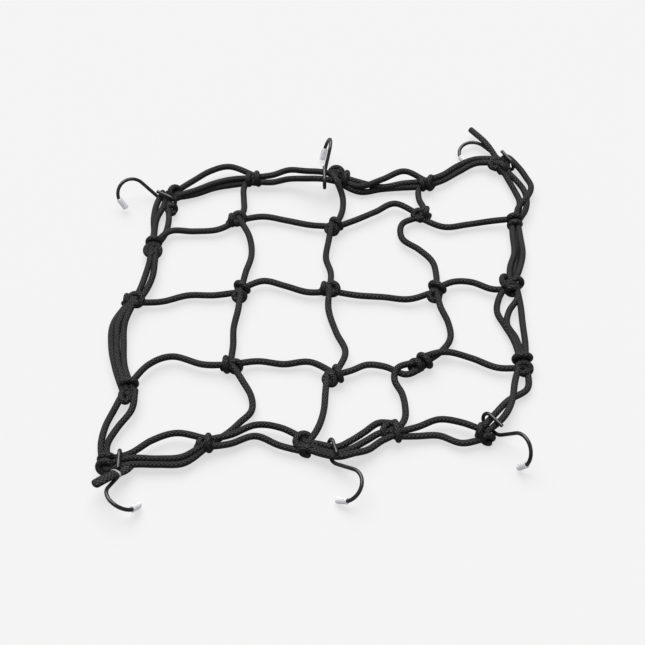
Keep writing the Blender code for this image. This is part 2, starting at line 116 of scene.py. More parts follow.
# The rings of a square cut end: how far out each lies, and how broad it is, in cord radii
CUT_PROFILE = ((0.05, 0.97), (0.10, 0.88), (0.06, 0.72), (-0.08, 0.55))
CUT_SINK = 0.16             # how far in the middle of such an end lies
BODY_HEADINGS = (0.35, 1.4, 2.45)
BODY_HEIGHT = 5.0 * MM      # centre of the crossing cords that fill a knot
BODY_REACH = 2.4 * MM
BODY_THICK = 1.3            # their thickness, as a share of the slack cord's
KINK_REACH = 4.0 * MM       # how far each side of a kink its round corner starts
WIRE_CUT_REACH = 0.6        # a face this near the cut is the cut end, in wire diameters
CAP_NOSE = 0.62             # the nose's rounding, as a share of the cap's radius
CAP_LIP = 0.12 * MM
CRIMP_PLACE = 0.46          # how far along the doubled end the steel band sits
CRIMP_WIDTH = 1.7 * MM
CRIMP_THICK = 0.25 * MM

# Scales of the patterns, in repeats a metre
PATCH_SCALE = 45.0
FIBRE_SCALE = 1800.0
RUB_SCALE = 160.0
ORANGE_PEEL_SCALE = 900.0
SHEAR_SCALE = 2600.0
CLOUD_SCALE = 260.0
FLOOR_SCALE = 9.0

# Finishes. A span is the part of a noise pattern, which runs from 0 to 1, that shows.
WIDE_SPAN = (0.3, 0.7)
RUB_SPAN = (0.52, 0.68)     # only the pattern's upper part, so the rubbed patches are few
OVER_SHARE = 0.6            # how much of the braid's height the upper yarn gives
DUST_SHARE = 0.35           # of the dusty colour, in the dustiest patches
DUST_TINT = 1.7
FIBRE_SHARE = 0.35          # the fibres' relief, as a share of the yarns'
WIRE_ROUGHNESS = (0.14, 0.28)
WIRE_GRAIN = 0.03 * MM
STEEL_TINT = 0.7
STEEL_GRAIN = 0.05 * MM
CAP_TINT = 0.93
CAP_GRAIN = 0.02 * MM
FLOOR_TINT = 0.995
CORD_FINISH = {"Roughness": 0.44, "Specular IOR Level": 0.3}
WIRE_FINISH = {"Specular IOR Level": 0.7}
STEEL_FINISH = {"Roughness": 0.34, "Metallic": 0.35}
# The cap's emission is a painted glow: the plastic gives off light of its own though it is no
# lamp
CAP_FINISH_WITH_PAINTED_GLOW = {"Roughness": 0.38, "Subsurface Weight": 1.0, "Subsurface Radius": WHITE[:3],
              "Subsurface Scale": 3.0 * MM,
              "Emission Color": (0.9, 0.9, 1.0, 1.0), "Emission Strength": 0.2}
FLOOR_FINISH = {"Roughness": 0.9, "Specular IOR Level": 0.1, "Emission Color": WHITE}

# Studio
FLOOR_SIZE = 8.0
LAMP_PLACE = (0, 0.9, 1.4)
LAMP_TURN = (radians(-34), radians(-9), 0)
SENSOR_WIDTH = 36.0

SHIFT = Vector((-2.9, -14.5, 0.0)) * MM    # puts the origin under the middle of the whole part

# Knot centres in plan: rows go from the far edge to the near edge, columns from left to right
KNOTS = (
    ((-110.5, 119), (-51, 135), (13, 135), (77, 130), (134, 152)),
    ((-123, 66), (-63, 93), (9, 87), (73, 97), (142, 93)),
    ((-133, 15), (-58, 24), (5, 25), (81, 24), (134, 30)),
    ((-131, -64), (-63, -42), (8, -51), (67, -40), (137, -41)),
    ((-141, -124), (-77, -107), (-12, -107), (48, -97), (106, -98)),
)

# One length of cord between two knots. bows: how far it lies to the left of the straight line
# between them, at equal steps from the first knot to the last. rise: its centre's height, at
# equal steps too. via: a floor point that it rounds first.
Run = namedtuple("Run", "start end bows rise via", defaults=(None,))

BORDER = [Run(*row) for row in (
    # far edge
    ("00", "01", (2, 9, 15, 16, 3), (6, 8, 7)),
    ("00", "01", (-2, 0, 3.5, 3.5, 0), (6, 6, 7)),
    ("00", "01", (-2, -1.5, 1.5, 0.5, -1.5), (4, 3, 4)),
    ("01", "02", (1, 3, 6.5, 2, -2, -2), (7, 7, 9, 12.5, 15.4, 11)),
    ("01", "02", (-3, -3.5, -2, -5.5, -9, -6.5), (6, 6, 8, 12, 15.2, 9)),
    ("02", "03", (1, -3, -5, -1, 1), (8, 5, 7)),
    ("02", "03", (0, -7.5, -1, 10, 3), (5, 9, 7)),
    ("02", "03", (-3, -10, -5.5, -3.5, -2.5), (4, 3, 5)),
    ("03", "04", (1, 2.5, 8, 9.5, 4), (8, 6, 7)),
    ("03", "04", (-2, -0.5, 4, 6, -1), (5, 4, 7)),
    # right edge
    ("04", "14", (4, 11.2, 15.2, 17.5, 13, 4.5, 1), (5.6, 5, 6, 7.5, 7), (137.5, 158.5)),
    ("04", "14", (-0.1, -0.4, 5.2, 9.8, 11.1, 9.3, 4), (5.6, 5.6, 6, 6, 6), (141, 154)),
    ("04", "14", (-2, 2.5, 5, 7.2, 8.2, 5.5, 0), (6, 4, 5)),
    ("14", "24", (-2, -0.5, 1.5, -1, 0), (6, 5, 7)),
    ("14", "24", (2, 5, 7.5, 6, 2), (6, 5, 7)),
    ("14", "24", (1, 2, 3, 2.5, 1), (4, 3, 4)),
    ("24", "34", (-3, -9.5, -12, -8, -4, -2, -2), (5, 4, 6)),
    ("24", "34", (3, 4, -3.5, -6.5, -2, 0, 0), (6, 5, 5)),
    ("24", "34", (4, 5, 4.5, 4, 2), (6, 5, 6)),
    ("34", "44", (-2, 1.5, 6.5, 7.5, 3), (6, 6, 6, 8.2, 8.4)),
    ("34", "44", (3, 11, 4, 1.5, -1.5), (5, 4, 5, 8.2, 8.3)),
    # near edge
    ("40", "41", (4, 4.5, 11, 12, 3), (6.2, 6.2, 7, 8)),
    ("40", "41", (0, 1, -4, -7, -1), (6.2, 6.2, 6.5, 7)),
    ("40", "41", (-4, -4, -8, -11, -3), (6.2, 5.8, 5, 5)),
    ("41", "42", (2, 6, 14, 12, 3), (7, 7, 7)),
    ("41", "42", (-3, 0, 6.5, -1, -6), (6, 5, 5)),
    ("42", "43", (1, -3.5, -7.5, -4, 1.5, 7, 5), (7, 7.5, 7.5, 7, 8)),
    ("42", "43", (0, -8.5, -13, -10.5, -5.5, -0.5, 0), (6, 8.4, 8.4, 7, 6)),
    ("42", "43", (-4, -11.5, -16, -15, -12, -6, -3), (6, 9, 9, 5, 6)),
    ("43", "44", (-2, 2.5, 9, 7, 1), (7, 7, 7)),
    ("43", "44", (-4, -3, -2, -8, -5), (5, 4, 5)),
    # left edge
    ("00", "10", (-10, -10.5, -8.5, -4, -2), (5.6, 5.6, 5.6, 6, 6)),
    ("00", "10", (-6, -5, -6, -3.5, 0), (5.8, 5.8, 6, 7, 7)),
    ("00", "10", (-3.5, -0.8, 3, 4, 1), (6.1, 6.1, 5, 5, 6)),
    ("10", "20", (-2, 0.5, 1, 1, 0), (6, 5, 6)),
    ("10", "20", (2, 4.5, 6.5, 6, 3), (6, 6, 6)),
    ("20", "30", (-3, -13.5, -14, -10, -4), (6, 5, 6)),
    ("20", "30", (-1, -9.5, -10, -7.5, -1), (8, 7, 7)),
    ("20", "30", (1, -5.5, -5.5, -3.5, 3), (8, 5, 7)),
    ("30", "40", (-3, -5.5, -8, -7, -2), (5, 5, 6)),
    ("30", "40", (5, 6, 0, -3, 2), (7, 5, 6)),
)]

COLUMNS = [Run(*row) for row in (
    ("01", "11", (-5, -5.5, -2, 1.5, 0), (5, 5, 6)),
    ("11", "21", (1, 8, 9, 4, 0), (8, 5, 6)),
    ("21", "31", (0, 0, -1.5, 0, 0), (8, 5, 7)),
    ("31", "41", (1, 11, 20, 23, 18, 12, 3), (7, 4, 6)),
    ("02", "12", (0, 3, 7, 7, 4.5, 0), (13, 14.5, 8, 5, 5, 6), (7, 134.5)),
    ("12", "22", (-2, -3.5, -4.5, 0, 0), (8, 5, 7)),
    ("22", "32", (0, -1.5, 3, 8.5, 1), (9, 5, 8)),
    ("32", "42", (-5, -1, 3, 4.5, 3), (7, 5, 8)),
    ("03", "13", (-3, -4, -2.5, 1, 0), (5, 5, 7)),
    ("13", "23", (-1, -6, 2, 7, 5, 0), (5, 5, 7), (60, 90)),
    ("23", "33", (0, 5, 13, 16.5, 12, 2), (7, 4, 5)),
    ("33", "43", (-2, -4, 2, 5, 5.5, 1), (7, 5, 6), (54, -45)),
)]

ROWS = [Run(*row) for row in (
    ("10", "11", (1, 10, 4, -2, 0), (7, 4, 5)),
    ("11", "12", (0, 6, 4, 0.5, 0), (5, 4, 5)),
    ("12", "13", (-1, 4, 10, 15.5, 0), (5, 5, 6)),
    ("13", "14", (-2, -9, -5, -1.5, 1), (5, 4, 6)),
    ("20", "21", (-1, -2, 2, -0.5, 0), (5, 4, 5)),
    ("21", "22", (2, 9.5, 5, -1, -1), (6, 5, 5)),
    ("22", "23", (0, -3.5, -4.5, -7, 0), (5, 4, 6)),
    ("23", "24", (2, 7.5, 6, -2, -3), (6, 5, 5)),
    ("30", "31", (3, 17, 19, 6, 0), (6, 6, 6)),
    ("31", "32", (0, 6, 6.5, 9.5, 1), (6, 4, 7)),
    ("32", "33", (0, 2, 5.2, 1.5, -7, -3.8), (6, 5, 4)),
    ("33", "34", (3, 9, 5, -3, -3), (8, 5, 5)),
)]

# A cord loop of a knot. aside: its centre from the knot's, in plan. z: its centre's height.
# turn: the direction of its long way in plan, in degrees. length and width: half its long and
# short ways. lean: 0 lies flat and 90 stands up, in degrees, and the side to the left rises.
Loop = namedtuple("Loop", "knot aside z turn length width lean")

LOOPS = [Loop(*row) for row in (
    ("00", (0, 0.5), 6.8, 50, 4.6, 4.4, 50),
    ("00", (-2, -14.5), 5.0, 20, 3.0, 3.0, 60),
    ("01", (1.5, 0), 6.3, 92, 4.3, 4.0, 90),
    ("01", (-5, 0), 5.6, 80, 4.0, 3.4, 90),
    ("02", (-2.5, 4), 8.0, 0, 4.6, 4.6, 25),
    ("02", (5, 0), 6.3, 75, 5.0, 4.2, 85),
    ("02", (1.5, -1), 6.0, 75, 4.2, 3.8, 85),
    ("03", (4, 0.5), 6.5, 70, 4.6, 4.0, 85),
    ("03", (-2.5, 0), 5.6, 100, 4.2, 3.4, 90),
    ("04", (-1.5, -1), 5.9, 20, 4.8, 3.6, 30),
    ("04", (3, -5), 5.6, -55, 4.2, 3.4, 90),
    ("10", (0, 4.5), 6.3, 0, 4.2, 3.6, 75),
    ("10", (-0.5, -3), 5.6, 0, 5.0, 5.2, 12),
    ("11", (-4.5, 0), 5.6, 85, 3.4, 3.2, 90),
    ("11", (1.2, 0.5), 7.0, 0, 4.0, 4.0, 30),
    ("12", (1.2, 1.5), 6.3, -45, 4.2, 4.0, 90),
    ("12", (-2, -3), 5.6, -30, 3.8, 3.2, 35),
    ("13", (4, 2), 6.3, 80, 3.7, 3.7, 90),
    ("13", (-1.5, 0.5), 6.3, 0, 4.2, 3.4, 40),
    ("14", (0, 1), 6.0, 0, 4.2, 3.6, 85),
    ("14", (0, -4.5), 5.4, 0, 3.8, 3.2, 90),
    ("20", (-5.5, 0.5), 5.6, 85, 3.3, 3.2, 90),
    ("20", (1, 0), 7.2, 0, 4.5, 4.3, 25),
    ("21", (0.8, 3), 6.4, -36, 4.7, 4.0, 90),
    ("21", (-1, -4), 5.2, 0, 3.6, 3.4, 35),
    ("22", (-4.2, 1.5), 5.8, 80, 3.3, 3.4, 90),
    ("22", (1.8, 0), 7.2, 0, 4.0, 4.2, 25),
    ("23", (0.8, 3), 6.4, -33, 5.0, 4.0, 90),
    ("23", (-1.5, -4), 5.2, 0, 3.5, 3.4, 35),
    ("24", (-2.5, 2), 6.6, 90, 5.2, 4.0, 30),
    ("24", (5, 1.5), 5.8, 0, 3.2, 3.4, 60),
    ("24", (1, -4.5), 5.0, 0, 3.4, 2.8, 90),
    ("30", (0, 5), 6.5, 5, 4.8, 4.0, 80),
    ("30", (-2, -4.5), 5.2, 90, 4.4, 2.8, 25),
    ("31", (-3, 0), 6.3, 90, 4.6, 4.0, 90),
    ("31", (3.6, -1), 5.4, 0, 3.2, 3.6, 50),
    ("32", (2.5, 1), 6.5, -72, 5.0, 4.2, 90),
    ("32", (-2.8, -3), 5.2, -30, 3.8, 3.4, 35),
    ("33", (3, 1), 6.6, -50, 5.0, 4.2, 90),
    ("33", (-3.5, -2.5), 5.4, -40, 3.6, 3.4, 60),
    ("34", (0, 4), 6.6, 0, 5.4, 4.2, 90),
    ("34", (0.5, -4), 5.6, 0, 4.6, 4.0, 25),
    ("40", (0, -1.5), 6.4, 0, 4.4, 4.0, 60),
    ("40", (0.5, 4.5), 6.0, 0, 4.4, 3.6, 75),
    ("41", (2, 0), 6.5, 88, 4.9, 4.2, 90),
    ("41", (-3.5, 0), 5.4, 90, 3.4, 3.0, 90),
    ("42", (-0.5, 1), 7.0, 30, 5.4, 5.0, 25),
    ("42", (1.5, -5), 5.0, 0, 3.4, 2.8, 90),
    ("43", (0.8, -0.5), 6.6, -84, 6.6, 4.2, 90),
    ("43", (-5.5, 0), 5.6, 60, 3.8, 3.4, 50),
    ("44", (-1.5, 0), 6.6, 75, 4.2, 4.2, 80),
    ("44", (3, -4.5), 5.2, 0, 3.2, 3.0, 90),
)]

# The two loose ends, the near one doubled: the floor places and heights that each passes
LOOSE_END_FAR = ((134, 153, 6), (131.2, 161.2, 7), (125, 173, 8.2), (115.6, 189, 5.5))
LOOSE_END_NEAR = ((-124.5, -120.5, 3), (-128, -127.4, 6), (-132.8, -131.1, 7.4),
                  (-136.6, -136, 11.2), (-140.9, -140.3, 13.2), (-144.8, -142.6, 12.6))

# eye: the eye's centre. heading: which way the eye's legs point in plan. swing: how far the
# shank turns from that in plan. dip: how far the eye's closed end dips. tilt: how far the eye
# leans to the bend's side. climb: how far the shank rises from the floor. roll: how far the bend
# rises to its side. side: +1 bends left, -1 right.
Hook = namedtuple("Hook", "name eye heading swing dip tilt climb roll side")

HOOKS = [Hook(*row) for row in (
    ("hook_far_left", (-118.0, 115.4, 6.0), 148, 8, -3, 9, 38, -22, 1),
    ("hook_far_middle", (1.4, 128.4, 15.3), 91, -16, 4, 0, 33, -69, 1),
    ("hook_far_right", (140.4, 155.6, 5.7), 121, 16, 0, 0, 7.5, -2.6, 1),
    ("hook_near_left", (-132.1, -123.2, 6.2), -89, -20, 0, 0, 28, -19.4, 1),
    ("hook_near_middle", (6.6, -114.9, 8.1), -77, 42, 10, -22, 22.4, -24.4, -1),
    ("hook_near_right", (113.1, -93.9, 8.4), -51, 17, 0, -22, 45.5, -53.8, -1),
)]

# A piece of cord ready to be swept: its centreline, the radius at each of its points, how its
# two ends are finished ("dome" is round, "cut" is square with a sunk middle), and for a doubled
# cord the direction of its breadth and how many times broader it is that way
Strand = namedtuple("Strand", "path radii first_end last_end broad stretch",
                    defaults=("dome", "dome", None, 1.0))


# ---------------------------------------------------------------- settings

COLOUR = {"subtype": "COLOR", "size": 3, "min": 0.0, "max": 1.0}


class CordSettings(bpy.types.PropertyGroup):
    """Sizes and colours of the elastic cord"""
    diameter: FloatProperty(
        name="Diameter", description="Thickness of the slack cord",
        default=CORD_D, min=0.001, max=0.02, unit="LENGTH")
    step: FloatProperty(
        name="Step", description="Distance between the rings of faces along a cord",
        default=1.6 * MM, min=0.0005, max=0.02, unit="LENGTH")
    sides: IntProperty(
        name="Sides", description="Faces round a cord", default=18, min=6, max=48)
    neck: FloatProperty(
        name="Neck", description="Share of its thickness that a cord keeps where a knot grips it",
        default=0.92, min=0.5, max=1.0, subtype="FACTOR")
    yarns: IntProperty(
        name="Yarns", description="Braid yarns that run each way round the cord",
        default=6, min=2, max=40)
    pitch: FloatProperty(
        name="Braid pitch", description="Length of one braid diamond along the cord",
        default=2.8 * MM, min=0.0002, max=0.02, unit="LENGTH")
    relief: FloatProperty(
        name="Braid relief", description="Height of the yarns over the gaps between them",
        default=0.50 * MM, min=0.0, max=0.002, unit="LENGTH")
    yarn_colour: FloatVectorProperty(
        name="Yarn", description="Colour on top of the yarns", default=(0.0330, 0.0330, 0.0350),
        **COLOUR)
    # The gap colour is painted shade: near black in the recesses between the yarns
    painted_gap_shade: FloatVectorProperty(
        name="Gap", description="Colour between the yarns", default=(0.0006, 0.0006, 0.0007),
        **COLOUR)


class HookSettings(bpy.types.PropertyGroup):
    """Sizes and colours of the wire hooks"""
    diameter: FloatProperty(
        name="Diameter", description="Thickness of the coated wire",
        default=WIRE_D, min=0.001, max=0.01, unit="LENGTH")
    chamfer: FloatProperty(
        name="Chamfer", description="Rounding of the rim at a cut end",
        default=0.22 * MM, min=0.0, max=0.001, unit="LENGTH")
    coat_colour: FloatVectorProperty(
        name="Coating", description="Colour of the black coating",
        default=(0.020, 0.020, 0.022), **COLOUR)
    worn_colour: FloatVectorProperty(
        name="Rubbed coating", description="Colour where the coating is rubbed",
        default=(0.055, 0.055, 0.058), **COLOUR)
    steel_colour: FloatVectorProperty(
        name="Bare end", description="Colour of the bare steel at a cut end",
        default=(0.78, 0.78, 0.80), **COLOUR)


class CapSettings(bpy.types.PropertyGroup):
    """Sizes and colours of the soft tip caps"""
    diameter: FloatProperty(
        name="Diameter", description="Thickness of the cap",
        default=CAP_D, min=0.001, max=0.02, unit="LENGTH")
    length: FloatProperty(
        name="Length", description="Length of the cap from mouth to nose",
        default=CAP_LENGTH, min=0.002, max=0.05, unit="LENGTH")
    colour: FloatVectorProperty(
        name="Colour", description="Colour of the milky soft plastic",
        default=(0.97, 0.97, 1.0), **COLOUR)


class StudioSettings(bpy.types.PropertyGroup):
    """Floor, light and camera"""
    floor_colour: FloatVectorProperty(
        name="Floor", description="Colour of the plain floor",
        default=(0.25, 0.25, 0.25), **COLOUR)
    floor_glow: FloatProperty(
        name="Floor glow", description="Light that the lit table gives off, which thins shadows",
        default=0.646, min=0.0, max=2.0)
    floor_spill: FloatProperty(
        name="Floor spill", description="Share of the floor's glow that reaches the net",
        default=0.03, min=0.0, max=1.0)
    sky_low: FloatProperty(
        name="Low sky", description="Strength of the light from the horizon",
        default=0.06, min=0.0, max=10.0)
    sky_high: FloatProperty(
        name="High sky", description="Strength of the light from straight above",
        default=0.35, min=0.0, max=10.0)
    lamp: FloatProperty(
        name="Lamp", description="Strength of the broad lamp behind and above the net",
        default=3.0, min=0.0, max=50.0)
    lamp_spread: FloatProperty(
        name="Lamp spread", description="How broad the lamp looks from the net",
        default=radians(60), min=0.0, max=pi, subtype="ANGLE")
    elevation: FloatProperty(
        name="Elevation", description="How far the camera stands above the horizon",
        default=radians(51), min=0.0, max=pi / 2, subtype="ANGLE")
    distance: FloatProperty(
        name="Distance", description="Camera to the middle of the net",
        default=1.067, min=0.1, max=10.0, unit="LENGTH")
    lens: FloatProperty(
        name="Lens", description="Focal length in millimetres on a 36 mm sensor",
        default=84.56, min=10.0, max=300.0)


# ---------------------------------------------------------------- paths

def facing(angle):
    """The level direction at an angle from +X."""
    return Vector((cos(angle), sin(angle), 0))


def left_of(way):
    return Vector((-way.y, way.x, 0)).normalized()


def knot_place(name):
    x, y = KNOTS[int(name[0])][int(name[1])]
    return Vector((x, y, 0.0)) * MM + SHIFT


def rise_at(rise, t):
    """Height at t (0 to 1) on straight lines between equally spaced heights."""
    place = t * (len(rise) - 1)
    i = min(int(place), len(rise) - 2)
    return (rise[i] + (rise[i + 1] - rise[i]) * (place - i)) * MM


def run_points(run):
    """The cord's own points: the first knot's side, its bows, and the last knot's side."""
    start, end = knot_place(run.start), knot_place(run.end)
    points = []
    if run.via:
        points.append(start + UP * rise_at(run.rise, 0))
        start = Vector((run.via[0], run.via[1], 0)) * MM + SHIFT
    chord = end - start
    left = left_of(chord)
    last = len(run.bows) - 1
    for i, bow in enumerate(run.bows):
        t = i / last
        point = start + chord * t + left * bow * MM
        point.z = rise_at(run.rise, t)
        points.append(point)
    return points


def smooth_path(points, step):
    """Points about a step apart on a Catmull-Rom curve through the given points."""
    padded = [points[0] * 2 - points[1]] + list(points) + [points[-1] * 2 - points[-2]]
    fine = []
    for p0, p1, p2, p3 in zip(padded, padded[1:], padded[2:], padded[3:]):
        for i in range(ROUTE_STEPS):
            t = i / ROUTE_STEPS
            fine.append(0.5 * (2 * p1 + (p2 - p0) * t + (2 * p0 - 5 * p1 + 4 * p2 - p3) * t * t
                               + (3 * p1 - p0 - 3 * p2 + p3) * t ** 3))
    fine.append(points[-1].copy())
    lengths = lengths_along(fine)
    count = max(2, round(lengths[-1] / step))
    path, k = [], 0
    for i in range(count + 1):
        goal = lengths[-1] * i / count
        while k < len(fine) - 2 and lengths[k + 1] < goal:
            k += 1
        share = (goal - lengths[k]) / max(lengths[k + 1] - lengths[k], NEAR * MM)
        path.append(fine[k].lerp(fine[k + 1], min(max(share, 0.0), 1.0)))
    return path


def lengths_along(path):
    lengths = [0.0]
    for a, b in zip(path, path[1:]):
        lengths.append(lengths[-1] + (b - a).length)
    return lengths


def wrap_path(loop, radius):
    """A cord turned once and a little more round a knot, its ends tucked in side by side."""
    centre = knot_place(loop.knot) + Vector((loop.aside[0], loop.aside[1], loop.z)) * MM
    turn, lean = radians(loop.turn), radians(loop.lean)
    along = facing(turn)
    across = left_of(along) * cos(lean) + UP * sin(lean)
    aside = along.cross(across)
    path = []
    for i in range(LOOP_STEPS + 1):
        s = 2 * i / LOOP_STEPS - 1                  # -1 at one end, 0 at the top, 1 at the other
        a = pi / 2 + s * pi * WRAP_TURNS
        tuck = 1 - WRAP_TUCK * abs(s) ** TUCK_POWER
        path.append(centre + along * loop.length * MM * cos(a) * tuck
                    + across * loop.width * MM * sin(a) * tuck
                    + aside * radius * WRAP_SLANT * s * abs(s))
    return path


# ---------------------------------------------------------------- swept cords

def necked(path, radius, neck):
    """The radius at each point: less in the grip of the knots at both ends, fuller between."""
    lengths = lengths_along(path)
    whole = lengths[-1]
    radii = []
    for i, s in enumerate(lengths):
        near = min(s, whole - s) / NECK_LENGTH
        ease = min(near, 1.0)
        share = neck + (1 - neck) * ease * ease * (3 - 2 * ease)
        swell = 1 + SWELL * sin(s / SWELL_LENGTH * 2 * pi + whole * SWELL_SHIFT)
        radii.append(radius * share * swell)
    return radii


def end_rings(point, outward, radius, style):
    """The rings that close an end, from the rim to the last one before the pole."""
    rings = []
    if style == "dome":
        for k in range(1, DOME_STEPS):
            a = pi / 2 * k / DOME_STEPS
            rings.append((point + outward * radius * sin(a), radius * cos(a)))
        return rings, point + outward * radius
    for reach, share in CUT_PROFILE:
        rings.append((point + outward * radius * reach, radius * share))
    return rings, point - outward * radius * CUT_SINK


def sweep(strand, sides, out):
    """Adds one strand to out, a tuple of the lists of points, faces and map places."""
    points, faces, places = out
    path = strand.path
    last = len(path) - 1
    tangents = [(path[min(i + 1, last)] - path[max(i - 1, 0)]).normalized()
                for i in range(last + 1)]
    first, first_pole = end_rings(path[0], -tangents[0], strand.radii[0], strand.first_end)
    final, last_pole = end_rings(path[-1], tangents[-1], strand.radii[-1], strand.last_end)
    rings = [(p, tangents[0], r) for p, r in reversed(first)]
    rings += list(zip(path, tangents, strand.radii))
    rings += [(p, tangents[-1], r) for p, r in final]

    base, side, along = len(points), tangents[0].orthogonal().normalized(), 0.0
    lengths = []
    for i, (centre, tangent, radius) in enumerate(rings):
        if i:
            along += (centre - rings[i - 1][0]).length
        lengths.append(along)
        side = (side - tangent * side.dot(tangent)).normalized()
        up = tangent.cross(side)
        for j in range(sides):
            a = 2 * pi * j / sides
            way = side * cos(a) + up * sin(a)
            if strand.broad:
                way += strand.broad * way.dot(strand.broad) * (strand.stretch - 1)
            point = centre + way * radius
            point.z = max(point.z, 0.0)     # flat where it rests
            points.append(point)
    for i in range(len(rings) - 1):
        row, above = base + i * sides, base + (i + 1) * sides
        for j in range(sides):
            k = (j + 1) % sides
            faces.append((row + j, row + k, above + k, above + j))
            u, v = j / sides, (j + 1) / sides
            places.extend(((u, lengths[i]), (v, lengths[i]),
                           (v, lengths[i + 1]), (u, lengths[i + 1])))
    poles = ((first_pole, base, 0, True), (last_pole, base + (len(rings) - 1) * sides, -1, False))
    for pole, row, end, turned in poles:
        pole.z = max(pole.z, 0.0)
        points.append(pole)
        for j in range(sides):
            k = (j + 1) % sides
            u, v = j / sides, (j + 1) / sides
            rim = ((row + k, v), (row + j, u)) if turned else ((row + j, u), (row + k, v))
            faces.append((rim[0][0], rim[1][0], len(points) - 1))
            places.extend(((rim[0][1], lengths[end]), (rim[1][1], lengths[end]),
                           ((u + v) / 2, lengths[end])))


def cord_piece(name, strands, settings):
    """One mesh of swept strands, each closed at both ends, that stands for the net's solid."""
    points, faces, places = [], [], []
    for strand in strands:
        sweep(strand, settings.sides, (points, faces, places))
    mesh = bpy.data.meshes.new(name)
    mesh.from_pydata(points, [], faces)
    layer = mesh.uv_layers.new(name=CORD_MAP)
    layer.data.foreach_set("uv", [number for place in places for number in place])
    mesh.materials.append(cord_material(settings))
    mesh.shade_smooth()
    mesh.set_sharp_from_angle(angle=CORD_SHARP)
    piece = bpy.data.objects.new(name, mesh)
    bpy.context.collection.objects.link(piece)
    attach(piece, BODY)
    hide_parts("net")


def run_strands(runs, settings):
    strands = []
    for run in runs:
        path = smooth_path(run_points(run), settings.step)
        strands.append(Strand(path, necked(path, settings.diameter / 2, settings.neck)))
    return strands


# ---------------------------------------------------------------- materials

def new_material(name, finish):
    """A material, its node tree and its shader, whose own sockets hold the plain finish."""
    material = bpy.data.materials.new(name)
    material.use_nodes = True
    shader = material.node_tree.nodes["Principled BSDF"]
    for socket, value in finish.items():
        shader.inputs[socket].default_value = value
    return material, material.node_tree, shader


def feed(tree, socket, value):
    """Puts a number or a colour on a socket, or links another node's socket to it."""
    if isinstance(value, bpy.types.NodeSocket):
        tree.links.new(value, socket)
    elif isinstance(value, (int, float)):
        socket.default_value = value
    else:
        socket.default_value = (*value, 1.0)


def tinted(colour, share):
    """A share of a colour: darker under 1, lighter over 1."""
    return tuple(channel * share for channel in colour)


def calc(tree, operation, first, second=0.0):
    node = tree.nodes.new("ShaderNodeMath")
    node.operation = operation
    feed(tree, node.inputs[0], first)
    feed(tree, node.inputs[1], second)
    return node.outputs[0]


def noise(tree, scale, detail=2.0):
    """Noise on object coordinates, from 0 to 1."""
    node = tree.nodes.new("ShaderNodeTexNoise")
    node.inputs["Scale"].default_value = scale
    node.inputs["Detail"].default_value = detail
    place = tree.nodes.new("ShaderNodeTexCoord")
    tree.links.new(place.outputs["Object"], node.inputs["Vector"])
    return node.outputs["Fac"]


def ranged(tree, value, span, low, high):
    """Stretches a span of values to run from low to high, and holds it there beyond."""
    node = tree.nodes.new("ShaderNodeMapRange")
    for socket, number in zip(node.inputs[:5], (value, *span, low, high)):
        feed(tree, socket, number)
    return node.outputs["Result"]


def blend_colours(tree, share, first, second):
    node = tree.nodes.new("ShaderNodeMix")
    node.data_type = "RGBA"
    feed(tree, node.inputs["Factor"], share)
    # A Mix node's colours are its inputs 6 and 7 and its output 2
    feed(tree, node.inputs[6], first)
    feed(tree, node.inputs[7], second)
    return node.outputs[2]


def paint(tree, shader, share, first, second):
    """Colours the surface: the first colour where the share is 0, the second where it is 1."""
    feed(tree, shader.inputs["Base Color"], blend_colours(tree, share, first, second))


def roughen(tree, shader, height, depth, strength=1.0):
    node = tree.nodes.new("ShaderNodeBump")
    node.inputs["Strength"].default_value = strength
    node.inputs["Distance"].default_value = depth
    tree.links.new(height, node.inputs["Height"])
    tree.links.new(node.outputs["Normal"], shader.inputs["Normal"])


def braid_height(tree, yarns, pitch):
    """Yarns that cross over and under each other round the cord, from 0 between them to 1."""
    place = tree.nodes.new("ShaderNodeUVMap")
    place.uv_map = CORD_MAP
    split = tree.nodes.new("ShaderNodeSeparateXYZ")
    tree.links.new(place.outputs["UV"], split.inputs["Vector"])
    turns = calc(tree, "MULTIPLY", split.outputs["X"], float(yarns))
    steps = calc(tree, "DIVIDE", split.outputs["Y"], pitch)
    ways = (calc(tree, "ADD", turns, steps), calc(tree, "SUBTRACT", turns, steps))
    humps = [calc(tree, "SINE", calc(tree, "MULTIPLY", calc(tree, "FRACT", way), pi))
             for way in ways]
    floors = [calc(tree, "FLOOR", way) for way in ways]
    half = calc(tree, "FRACT", calc(tree, "MULTIPLY", calc(tree, "ADD", *floors), 0.5))
    over = calc(tree, "MULTIPLY", half, 2.0)
    upper = calc(tree, "ADD",
                 calc(tree, "MULTIPLY", humps[0], calc(tree, "SUBTRACT", 1.0, over)),
                 calc(tree, "MULTIPLY", humps[1], over))
    both = calc(tree, "MULTIPLY", humps[0], humps[1])
    return calc(tree, "ADD", calc(tree, "MULTIPLY", upper, OVER_SHARE),
                calc(tree, "MULTIPLY", both, 1 - OVER_SHARE))


def cord_material(settings):
    """Matt black braid: yarns with painted shade in the gaps between them, uneven fibres and
    faint lighter dusty patches.
    """
    made = bpy.data.materials.get("braided_cord")
    if made:
        return made
    material, tree, shader = new_material("braided_cord", CORD_FINISH)
    height = braid_height(tree, settings.yarns, settings.pitch)
    # Painted shade: the colour falls to near black where the braid is low, in the gaps between
    # the yarns
    colour = blend_colours(tree, height, settings.painted_gap_shade, settings.yarn_colour)
    patches = ranged(tree, noise(tree, PATCH_SCALE), WIDE_SPAN, 0.0, DUST_SHARE)
    paint(tree, shader, patches, colour, tinted(settings.yarn_colour, DUST_TINT))
    fibres = calc(tree, "MULTIPLY", noise(tree, FIBRE_SCALE, detail=3.0), FIBRE_SHARE)
    roughen(tree, shader, calc(tree, "ADD", height, fibres), settings.relief)
    return material


